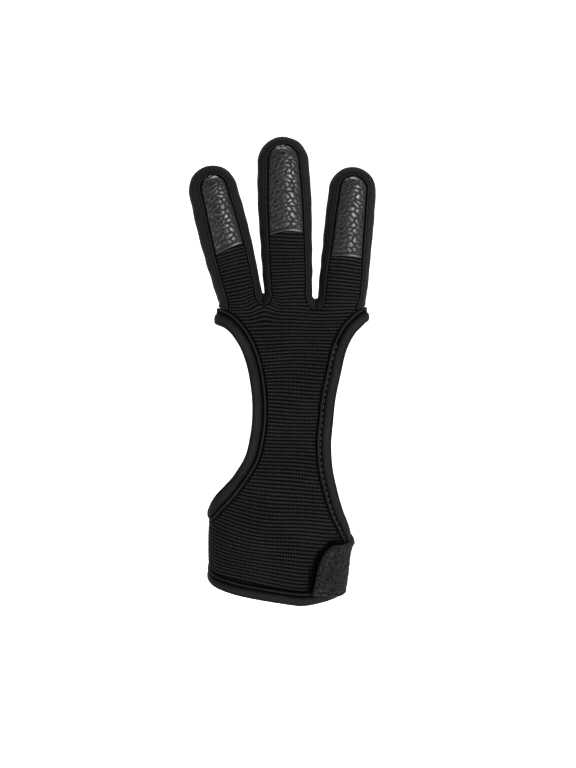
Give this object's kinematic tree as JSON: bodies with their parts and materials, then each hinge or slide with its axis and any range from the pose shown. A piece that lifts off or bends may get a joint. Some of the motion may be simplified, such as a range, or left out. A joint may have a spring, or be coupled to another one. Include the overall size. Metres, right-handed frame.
{
  "type": "archery glove",
  "caption": "Right-hand archery glove: ribbed palm and back, smooth side strips on the fingers, leather fingertip pads, open sides for thumb and little finger, strap tab at the wrist.",
  "frame": {"origin": "middle of the wrist edge, where the wrist goes in", "axes": "+Z to the fingertips, -Y to the palm side, +X to the thumb side"},
  "size_m": [0.0821, 0.0431, 0.2046],
  "materials": {
    "ribbed_cloth": "matt, fine ribs across the fingers and the palm",
    "smooth_cloth": "matt, smooth knit",
    "leather": "pebbled, half gloss",
    "loop_cloth": "matt, brushed loops"
  },
  "bodies": {
    "root": {"palm_panel": "ribbed_cloth", "back_panel": "ribbed_cloth", "ring_side_strip": "smooth_cloth", "middle_side_strip": "smooth_cloth", "index_side_strip": "smooth_cloth", "ring_pad": "leather", "middle_pad": "leather", "index_pad": "leather", "pinky_opening_binding": "smooth_cloth", "thumb_opening_binding": "smooth_cloth", "wrist_hem": "smooth_cloth", "closure_tab": "loop_cloth"}
  },
  "joints": []
}
